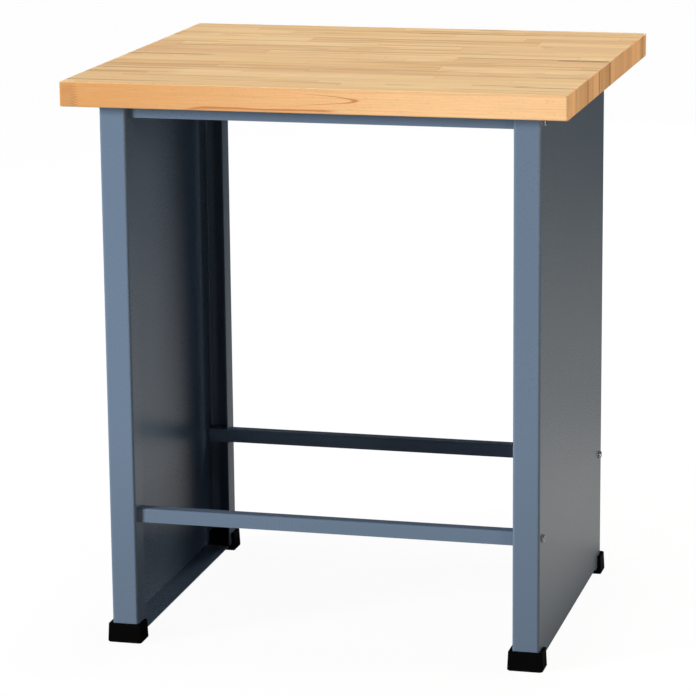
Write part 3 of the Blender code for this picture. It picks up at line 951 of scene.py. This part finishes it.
@dataclass
class Worktop(SubAssembly):
    """The glued beech block: staves along the width, eased edges, hairline grooves at the glue lines."""

    node: str = "worktop"
    stave_shares: Tuple[float, ...] = (
        30, 32, 33, 33, 32, 40, 50, 28, 27, 43, 42, 42, 38, 30, 45, 40, 40, 35, 30,
    )
    edge_round: float = 0.0015
    corner_round: float = 0.0032
    round_steps: int = 4
    groove_depth: float = 0.00010
    groove_half: float = 0.00030
    near_share: float = 0.3
    least_upright: float = 0.01
    rim_angle: float = 60.0
    cut_gap: float = 1e-7
    facing: float = 0.7
    arris_tilt: Pair = (0.10, 0.98)

    def stave_lines(self) -> List[float]:
        """Where the staves start and end, from the front edge to the back edge."""
        low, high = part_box(self.node)
        total = sum(self.stave_shares)
        lines = [low[1]]
        for share in self.stave_shares:
            lines.append(lines[-1] + (high[1] - low[1]) * share / total)
        return lines

    def _block(self) -> bmesh.types.BMesh:
        """A block with rounded corners and eased edges."""
        low, high = (Vector(corner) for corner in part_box(self.node))
        bm = bmesh.new()
        bmesh.ops.create_cube(bm, size=1.0)
        bmesh.ops.scale(bm, vec=high - low, verts=bm.verts)
        bmesh.ops.translate(bm, vec=(high + low) / 2, verts=bm.verts)
        upright = [edge for edge in bm.edges if climb(edge) > self.least_upright]
        ease(bm, upright, self.corner_round, self.round_steps)
        limit = math.radians(self.rim_angle)
        rims = [edge for edge in bm.edges if climb(edge) < TINY and edge.calc_face_angle() > limit]
        ease(bm, rims, self.edge_round, self.round_steps)
        return bm

    def _groove(self, bm: bmesh.types.BMesh, line: float) -> None:
        """Press a hairline groove round the block at one glue line.

        Args:
            bm: the block.
            line: the glue line's Y.
        """
        low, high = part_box(self.node)
        for offset in (-self.groove_half, 0.0, self.groove_half):
            bmesh.ops.bisect_plane(
                bm, geom=bm.verts[:] + bm.edges[:] + bm.faces[:], dist=self.cut_gap,
                plane_co=(0, line + offset, 0), plane_no=(0, 1, 0),
            )
        near = self.edge_round * self.near_share
        for vert in bm.verts:
            if abs(vert.co.y - line) > TINY:
                continue
            for axis in (2, 0):
                if vert.co[axis] - low[axis] < near:
                    vert.co[axis] += self.groove_depth
                if high[axis] - vert.co[axis] < near:
                    vert.co[axis] -= self.groove_depth

    def _mark_staves(self, mesh: bpy.types.Mesh) -> None:
        """Keep on each face which stave it is cut from, for the grain."""
        lines = self.stave_lines()
        low_tilt, high_tilt = self.arris_tilt
        rows = []
        for face in mesh.polygons:
            count = sum(1 for line in lines[1:-1] if face.center.y > line)
            start, end = lines[count:count + 2]
            normal = face.normal
            rows.append({
                "stave": count,
                "stave_centre": (start + end) / 2,
                "stave_width": end - start,
                "end_grain": abs(normal.x) > self.facing,
                "front_edge": -normal.y > self.facing,
                "long_edge": abs(normal.y) > self.facing,
                # Faces of the eased edges, where the beech paints shade
                "shaded_arris": low_tilt < abs(normal.z) < high_tilt,
            })
        for name in rows[0]:
            mark = mesh.attributes.new(name, "FLOAT", "FACE")
            mark.data.foreach_set("value", [float(row[name]) for row in rows])

    def build(self) -> None:
        """Make the block and hand it over."""
        bm = self._block()
        for line in self.stave_lines()[1:-1]:
            self._groove(bm, line)
        mesh = mesh_of(bm, "worktop_block")
        self._mark_staves(mesh)
        piece = link_piece("worktop_block", mesh, self.material)
        keep_flats_flat(piece)
        self.publish(piece, self.node)


@dataclass
class SoftenedSet(SubAssembly):
    """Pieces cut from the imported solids: their facets joined, their cut edges softened."""

    edge_round: float = 0.0004
    round_steps: int = 2
    sharp_angle: float = 50.0
    flat_angle: float = 1.0
    names: Dict[str, str] = field(default_factory=dict)

    def _softened(self, node: str) -> bmesh.types.BMesh:
        """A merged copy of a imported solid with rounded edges.

        Args:
            node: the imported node's name.

        Returns:
            The softened copy.
        """
        bm = bmesh.new()
        bm.from_mesh(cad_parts[node].data)
        bmesh.ops.remove_doubles(bm, verts=bm.verts, dist=TINY)
        bmesh.ops.dissolve_limit(
            bm, angle_limit=math.radians(self.flat_angle), use_dissolve_boundaries=False,
            verts=bm.verts, edges=bm.edges,
        )
        limit = math.radians(self.sharp_angle)
        sharp = [edge for edge in bm.edges if edge.is_manifold and edge.calc_face_angle() > limit]
        ease(bm, sharp, self.edge_round, self.round_steps, clamped=True)
        return bm

    def build(self) -> None:
        """Make every piece of the set and hand it over."""
        for node, name in self.names.items():
            piece = link_piece(name, mesh_of(self._softened(node), name), self.material)
            keep_flats_flat(piece)
            self.publish(piece, node)


def ring(radius: float, height: float, count: int) -> List[Point]:
    """A ring of points about the Z axis at one height."""
    turn = 2 * math.pi / count
    return [(radius * math.cos(turn * k), radius * math.sin(turn * k), height) for k in range(count)]


def hexagon(across: float, height: float, count: int) -> List[Point]:
    """A hexagon with as many points as a ring has, so that the two can be joined.

    Args:
        across: the width across flats.
        height: where it lies on the Z axis.
        count: how many points it has.

    Returns:
        Its points in order.
    """
    sixth = math.pi / 3
    points = []
    for k in range(count):
        angle = 2 * math.pi * k / count
        off_flat = (angle + sixth / 2) % sixth - sixth / 2
        radius = across / 2 / math.cos(off_flat)
        points.append((radius * math.cos(angle), radius * math.sin(angle), height))
    return points


def loft(loops: Sequence[Sequence[Point]], closed: bool = False) -> bmesh.types.BMesh:
    """Join rings of points into one body.

    Args:
        loops: the rings, all with the same number of points.
        closed: True if the last ring meets the first, so that there are no end caps.

    Returns:
        The closed body with its faces pointing out.
    """
    bm = bmesh.new()
    rings = [[bm.verts.new(point) for point in loop] for loop in loops]
    pairs = list(zip(rings, rings[1:]))
    if closed:
        pairs.append((rings[-1], rings[0]))
    else:
        bm.faces.new(rings[0])
        bm.faces.new(rings[-1])
    for low, high in pairs:
        for k in range(len(low)):
            after = (k + 1) % len(low)
            bm.faces.new((low[k], low[after], high[after], high[k]))
    bmesh.ops.recalc_face_normals(bm, faces=bm.faces)
    return bm


@dataclass(frozen=True)
class Thread:
    """A screw thread as a stack of rings whose radius winds round with the height."""

    radius: float
    depth: float
    pitch: float
    steps: int = 6
    taper_from: float = 0.72

    def loops(self, start: float, end: float, count: int, tip: float = 1.0) -> List[List[Point]]:
        """The thread's rings from one height to another.

        Args:
            start: the first ring's height.
            end: the last ring's height.
            count: how many points a ring has.
            tip: the share of the radius left at the end, 1 for a plain rod.

        Returns:
            The rings in order.
        """
        total = max(2, round(abs(end - start) / self.pitch * self.steps))
        loops = []
        for step in range(total + 1):
            height = start + (end - start) * step / total
            tapered = max(0.0, step / total - self.taper_from) / (1.0 - self.taper_from)
            taper = 1.0 - (1.0 - tip) * tapered
            points = []
            for k in range(count):
                wound = (height / self.pitch - k / count) % 1.0
                radius = taper * (self.radius - self.depth * abs(2 * wound - 1))
                angle = 2 * math.pi * k / count
                points.append((radius * math.cos(angle), radius * math.sin(angle), height))
            loops.append(points)
        return loops


@dataclass(frozen=True)
class BoltShape:
    """A button-head bolt along +Z, its seat at 0 and a hexagon socket in the head."""

    head_radius: float = 0.006
    head_height: float = 0.0036
    seat_ease: float = 0.0002
    rim: float = 0.0007
    crown_share: float = 0.68
    dome_steps: int = 7
    socket: float = 0.004
    socket_depth: float = 0.002
    socket_ease: float = 0.0004
    socket_lip: float = 0.0003
    drill_share: float = 0.08
    drill_depth: float = 0.0005
    length: float = 0.016
    tip_share: float = 0.72
    tip_height: float = 0.0006
    thread: Thread = Thread(0.003, 0.00055, 0.001)
    thread_end: float = -0.003
    neck: float = -0.0026
    count: int = 36

    def body(self) -> bmesh.types.BMesh:
        """The bolt's closed body."""
        loops = [ring(self.thread.radius * self.tip_share, -self.length, self.count)]
        loops += self.thread.loops(self.tip_height - self.length, self.thread_end, self.count)
        loops.append(ring(self.thread.radius, self.neck, self.count))
        loops.append(ring(self.thread.radius, 0.0, self.count))
        loops.append(ring(self.head_radius - self.seat_ease, 0.0, self.count))
        for step in range(self.dome_steps + 1):
            angle = math.pi / 2 * step / self.dome_steps
            radius = self.head_radius * (self.crown_share + (1 - self.crown_share) * math.cos(angle))
            height = self.rim + (self.head_height - self.rim) * math.sin(angle)
            loops.append(ring(radius, height, self.count))
        deep = self.head_height - self.socket_depth
        loops.append(hexagon(self.socket + self.socket_ease, self.head_height, self.count))
        loops.append(hexagon(self.socket, self.head_height - self.socket_lip, self.count))
        loops.append(hexagon(self.socket, deep, self.count))
        loops.append(ring(self.socket * self.drill_share, deep - self.drill_depth, self.count))
        return loft(loops)


@dataclass(frozen=True)
class NutShape:
    """A flange nut along -Z, its seat at 0."""

    across: float = 0.010
    height: float = 0.006
    flange_radius: float = 0.0066
    flange_height: float = 0.0012
    flange_ease: float = 0.0003
    flange_taper: float = 0.0004
    rim_share: float = 0.6
    shoulder: float = 0.0008
    bore: float = 0.0033
    chamfer: float = 0.0005
    face_share: float = 0.4
    count: int = 36

    def body(self) -> bmesh.types.BMesh:
        """The nut's closed body."""
        flange = (
            (self.bore + self.chamfer, 0.0),
            (self.flange_radius - self.flange_ease, 0.0),
            (self.flange_radius, -self.flange_ease),
            (self.flange_radius, -self.flange_height * self.rim_share),
            (self.flange_radius - self.flange_taper, -self.flange_height),
        )
        flats = (-self.flange_height - self.shoulder, self.chamfer - self.height)
        inside = (
            (self.across / 2 - self.chamfer * self.face_share, -self.height),
            (self.bore + self.chamfer, -self.height),
            (self.bore, self.chamfer - self.height),
            (self.bore, -self.chamfer),
        )
        loops = [ring(radius, height, self.count) for radius, height in flange]
        loops += [hexagon(self.across, height, self.count) for height in flats]
        loops += [ring(radius, height, self.count) for radius, height in inside]
        return loft(loops, closed=True)


@dataclass(frozen=True)
class ScrewShape:
    """A pan-head wood screw along +Z, its seat at 0 and a recess in the head below."""

    head_radius: float = 0.005
    head_height: float = 0.0028
    head_profile: Tuple[Pair, ...] = ((0.62, 1.0), (0.84, 0.84), (0.97, 0.52), (1.0, 0.2), (1.0, 0.0))
    recess: float = 0.003
    recess_depth: float = 0.0013
    floor_share: float = 0.25
    foot_width_share: float = 0.9
    foot_depth_share: float = 0.8
    length: float = 0.026
    thread: Thread = Thread(0.0022, 0.0006, 0.0018, 8)
    thread_start: float = 0.0006
    neck_share: float = 0.8
    tip_share: float = 0.12
    count: int = 24

    def body(self) -> bmesh.types.BMesh:
        """The screw's closed body."""
        foot = self.recess_depth * self.foot_depth_share - self.head_height
        loops = [
            ring(self.recess * self.floor_share, self.recess_depth - self.head_height, self.count),
            hexagon(self.recess * self.foot_width_share, foot, self.count),
            hexagon(self.recess, -self.head_height, self.count),
        ]
        for width, height in self.head_profile:
            loops.append(ring(self.head_radius * width, -self.head_height * height, self.count))
        loops.append(ring(self.thread.radius * self.neck_share, 0.0, self.count))
        loops += self.thread.loops(self.thread_start, self.length, self.count, self.tip_share)
        return loft(loops)


@dataclass
class FastenerSet(SubAssembly):
    """One kind of fastener set out on its places by geometry nodes, each turned by chance."""

    name: str = "fasteners"
    seed: int = 11
    sharp_angle: float = 42.0
    places: List[Point] = field(default_factory=list)
    aims: List[Point] = field(default_factory=list)
    nodes: List[str] = field(default_factory=list)

    def add(self, node: str, place: Point, aim: Point) -> None:
        """Add one fastener.

        Args:
            node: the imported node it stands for.
            place: where its seat is.
            aim: where its +Z axis points.
        """
        self.nodes.append(node)
        self.places.append(place)
        self.aims.append(aim)

    def _tree(self) -> Tuple[bpy.types.NodeTree, Dict[str, str]]:
        """The node tree that puts a pattern on every point.

        Returns:
            The tree, and the identifier of each of its named inputs.
        """
        tree = bpy.data.node_groups.new(self.name + "_set_out", "GeometryNodeTree")
        graph = Graph(tree)
        kinds = {
            "Places": "NodeSocketGeometry", "Pattern": "NodeSocketObject", "Scale": "NodeSocketFloat",
            "Seed": "NodeSocketInt", "Finish": "NodeSocketMaterial",
        }
        keys = {}
        for label, kind in kinds.items():
            keys[label] = tree.interface.new_socket(label, in_out="INPUT", socket_type=kind).identifier
        tree.interface.new_socket("Fasteners", in_out="OUTPUT", socket_type="NodeSocketGeometry")
        given = graph.node("NodeGroupInput").outputs
        aim = graph.node("GeometryNodeInputNamedAttribute", {"data_type": "FLOAT_VECTOR"}, {"Name": "aim"})
        aligned = graph.node(
            "FunctionNodeAlignRotationToVector", {"axis": "Z"}, {"Vector": aim.outputs["Attribute"]}
        )
        chance = graph.node(
            "FunctionNodeRandomValue", {"data_type": "FLOAT"},
            {2: 0.0, 3: 2 * math.pi, "Seed": given["Seed"]},
        )
        spun = graph.node(
            "FunctionNodeAxisAngleToRotation", None, {"Axis": (0, 0, 1), "Angle": chance.outputs[1]}
        )
        turned = graph.node(
            "FunctionNodeRotateRotation", {"rotation_space": "LOCAL"},
            {"Rotation": aligned.outputs[0], "Rotate By": spun.outputs[0]},
        )
        pattern = graph.node("GeometryNodeObjectInfo", None, {"Object": given["Pattern"]})
        stood = graph.node("GeometryNodeInstanceOnPoints", None, {
            "Points": given["Places"], "Instance": pattern.outputs["Geometry"],
            "Rotation": turned.outputs[0], "Scale": given["Scale"],
        })
        real = graph.node("GeometryNodeRealizeInstances", None, {0: stood.outputs[0]})
        dressed = graph.node(
            "GeometryNodeSetMaterial", None, {"Geometry": real.outputs[0], "Material": given["Finish"]}
        )
        graph.node("NodeGroupOutput", None, {0: dressed.outputs[0]})
        return tree, keys

    def build(self, shape: Union[BoltShape, NutShape, ScrewShape]) -> None:
        """Set the fasteners out and hand them over as one piece.

        Args:
            shape: what one fastener looks like.
        """
        pattern = bpy.data.objects.new(self.name + "_pattern", mesh_of(shape.body(), self.name + "_pattern"))
        points = bpy.data.meshes.new(self.name + "_places")
        points.from_pydata(self.places, [], [])
        flat_aims = [number for aim in self.aims for number in aim]
        points.attributes.new("aim", "FLOAT_VECTOR", "POINT").data.foreach_set("vector", flat_aims)
        carrier = bpy.data.objects.new(self.name + "_places", points)
        for item in (pattern, carrier):
            bpy.context.scene.collection.objects.link(item)
        tree, keys = self._tree()
        modifier = carrier.modifiers.new("set_out", "NODES")
        modifier.node_group = tree
        given = {"Pattern": pattern, "Scale": 1.0, "Seed": self.seed, "Finish": self.material}
        for label, value in given.items():
            modifier[keys[label]] = value
        ready = carrier.evaluated_get(bpy.context.evaluated_depsgraph_get())
        mesh = bpy.data.meshes.new_from_object(ready)
        mesh.name = self.name
        for item in (carrier, pattern):
            bpy.data.objects.remove(item, do_unlink=True)
        piece = link_piece(self.name, mesh, self.material)
        mesh.set_sharp_from_angle(angle=math.radians(self.sharp_angle))
        self.publish(piece, *self.nodes)


@dataclass
class RailFasteners:
    """A bolt from outside and a nut inside at each end of each rail."""

    zinc: bpy.types.Material
    rails: Tuple[str, ...] = ("front_stretcher", "rear_stretcher", "front_top_rail", "rear_top_rail")

    def build(self) -> None:
        """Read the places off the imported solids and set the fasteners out."""
        bolts = FastenerSet(self.zinc, Slot.ZINC, "rail_bolts", seed=5)
        nuts = FastenerSet(self.zinc, Slot.ZINC, "rail_nuts", seed=8)
        shape = BoltShape()
        for rail in self.rails:
            for hand in Hand:
                outwards = (float(hand.value), 0.0, 0.0)
                bolt = f"{rail}_{hand.word}_bolt"
                low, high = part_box(bolt)
                middle = ((low[1] + high[1]) / 2, (low[2] + high[2]) / 2)
                far = high[0] if hand is Hand.RIGHT else low[0]
                bolts.add(bolt, (far - hand.value * shape.head_height, *middle), outwards)
                nut = f"{rail}_{hand.word}_nut"
                low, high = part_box(nut)
                seat = high[0] if hand is Hand.RIGHT else low[0]
                nuts.add(nut, (seat, *middle), outwards)
        bolts.build(shape)
        nuts.build(NutShape())


@dataclass
class WorktopScrews:
    """The screws that come up through the side panels into the beech."""

    zinc: bpy.types.Material
    per_side: int = 3

    def build(self) -> None:
        """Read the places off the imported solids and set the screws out."""
        screws = FastenerSet(self.zinc, Slot.ZINC, "worktop_screws", seed=3)
        shape = ScrewShape()
        for hand in Hand:
            for count in range(1, self.per_side + 1):
                node = f"worktop_screw_{hand.word}_{count}"
                low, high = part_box(node)
                middle = ((low[0] + high[0]) / 2, (low[1] + high[1]) / 2)
                screws.add(node, (*middle, low[2] + shape.head_height), (0.0, 0.0, 1.0))
        screws.build(shape)


@dataclass
class Lamp:
    """A soft square lamp that faces the bench.

    It is mirrored in shiny surfaces or kept out of them, and lights the whole scene or only one piece.
    """

    name: str
    place: Point
    target: Point
    size: float
    level: float
    tint: Colour = WHITE
    mirrored: bool = False
    only: str = ""

    def build(self) -> None:
        """Add the lamp, as strong as lights a facing surface at its level."""
        towards = Vector(self.target) - Vector(self.place)
        data = bpy.data.lights.new(self.name, "AREA")
        data.shape = "SQUARE"
        data.size = self.size
        data.color = self.tint
        data.energy = math.pi ** 2 * towards.length_squared * self.level
        lamp = bpy.data.objects.new(self.name, data)
        lamp.location = self.place
        lamp.rotation_mode = "QUATERNION"
        lamp.rotation_quaternion = towards.to_track_quat("-Z", "Y")
        lamp.visible_glossy = self.mirrored
        bpy.context.scene.collection.objects.link(lamp)
        if self.only:
            lit = bpy.data.collections.new(self.name + "_pieces")
            lit.objects.link(bpy.data.objects[self.only])
            lamp.light_linking.receiver_collection = lit
        LOG.info("%s at level %.2f", self.name, self.level)


@dataclass
class Studio:
    """Camera, lamps, surroundings and floor."""

    eye: Point = (1.1323, -4.5452, 1.4767)
    heading: float = 14.395
    pitch: float = 12.960
    roll: float = -0.545
    lens: float = 161.414
    sensor: float = 36.0
    ambient: float = 0.012
    surround: float = 0.13
    ceiling_span: Pair = (0.15, 0.70)
    floor_reach: float = 30.0
    lamps: Tuple[Lamp, ...] = (
        Lamp("key_lamp", (-6.30, -5.24, 2.05), (0.0, 0.0, 0.5), 2.0, 1.73),
        Lamp("top_lamp", (0.30, 0.40, 5.00), (0.0, 0.0, 0.85), 1.9, 0.92),
        Lamp("side_fill", (3.50, 0.42, 1.20), (0.0, 0.0, 0.5), 0.4, 0.32, WARMER),
        Lamp("end_fill", (3.50, 0.42, 0.86), (0.37, 0.0, 0.83), 0.4, 0.40, only="worktop_block"),
        Lamp("corner_fill", (4.00, -2.20, 1.20), (0.0, 0.0, 0.5), 1.0, 0.22, WARM),
        Lamp("front_fill", (-0.35, -4.60, 0.90), (0.0, 0.0, 0.45), 0.8, 0.05),
        Lamp("rear_fill", (0.45, 4.60, 1.40), (0.0, 0.0, 0.45), 1.2, 0.56),
        Lamp("corner_glint", (4.00, -2.20, 0.50), (0.0, 0.0, 0.4), 0.6, 0.06, WARM, mirrored=True),
        Lamp("right_glint", (2.70, -4.00, 0.55), (0.0, 0.0, 0.4), 0.5, 0.06, mirrored=True),
        Lamp("left_glint", (-3.20, 3.20, 0.50), (0.0, 0.0, 0.4), 0.5, 0.06, mirrored=True),
    )

    def camera(self) -> None:
        """Add the camera at the photograph's viewing angle."""
        data = bpy.data.cameras.new("camera")
        data.lens = self.lens
        data.sensor_fit = "HORIZONTAL"
        data.sensor_width = self.sensor
        camera = bpy.data.objects.new("camera", data)
        aim = Euler((math.radians(90 - self.pitch), 0.0, math.radians(self.heading))).to_matrix().to_4x4()
        twist = Matrix.Rotation(math.radians(self.roll), 4, "Z")
        camera.matrix_world = Matrix.Translation(self.eye) @ aim @ twist
        bpy.context.scene.collection.objects.link(camera)
        bpy.context.scene.camera = camera

    def surroundings(self) -> None:
        """Fill the world with dim light that the camera sees as white and mirrors as a pale ceiling."""
        world = bpy.data.worlds.new("studio")
        bpy.context.scene.world = world
        world.use_nodes = True
        graph = Graph(world.node_tree)
        seen, mirrored = graph.rays()
        way = graph.node("ShaderNodeTexCoord").outputs["Generated"]
        up = Value(graph, graph.node("ShaderNodeSeparateXYZ", None, {0: way}).outputs[2])
        ceiling = mirrored * up.rise(*self.ceiling_span) * self.surround
        white = (*WHITE, 1.0)
        dim = graph.node("ShaderNodeBackground", None, {"Color": white, "Strength": self.ambient})
        bright = graph.node("ShaderNodeBackground", None, {"Color": white, "Strength": 1.0})
        both = graph.node("ShaderNodeMixShader", None, {
            0: seen.most(ceiling), 1: dim.outputs[0], 2: bright.outputs[0],
        })
        graph.node("ShaderNodeOutputWorld", None, {"Surface": both.outputs[0]})

    def floor(self) -> None:
        """Lay the pale floor."""
        bm = bmesh.new()
        bmesh.ops.create_grid(bm, x_segments=1, y_segments=1, size=self.floor_reach)
        mesh = mesh_of(bm, "floor")
        link_piece("floor", mesh, FloorFinish().material())

    def build(self) -> None:
        """Set up all but the lamps."""
        bpy.context.scene.view_settings.view_transform = "Standard"
        self.camera()
        self.surroundings()
        self.floor()

    def light(self) -> None:
        """Add the lamps once the pieces are there."""
        for lamp in self.lamps:
            lamp.build()


def main() -> None:
    """Build the studio and the bench, piece by piece."""
    logging.basicConfig(level=logging.INFO, format="%(name)s: %(message)s")
    studio = Studio()
    studio.build()
    paint = PaintFinish().material()
    zinc = ZincFinish().material()
    Worktop(BeechFinish().material(), Slot.BEECH).build()
    SoftenedSet(paint, Slot.PAINT, names={
        "left_side_panel": "left_side_sheet",
        "right_side_panel": "right_side_sheet",
        "front_stretcher": "front_stretcher_channel",
        "rear_stretcher": "rear_stretcher_channel",
        "front_top_rail": "front_top_channel",
        "rear_top_rail": "rear_top_channel",
    }).build()
    SoftenedSet(PlasticFinish().material(), Slot.PLASTIC, edge_round=0.0012, round_steps=3, names={
        "front_left_foot": "front_left_cap",
        "front_right_foot": "front_right_cap",
        "rear_left_foot": "rear_left_cap",
        "rear_right_foot": "rear_right_cap",
    }).build()
    RailFasteners(zinc).build()
    WorktopScrews(zinc).build()
    studio.light()


if __name__ == "__main__":
    main()
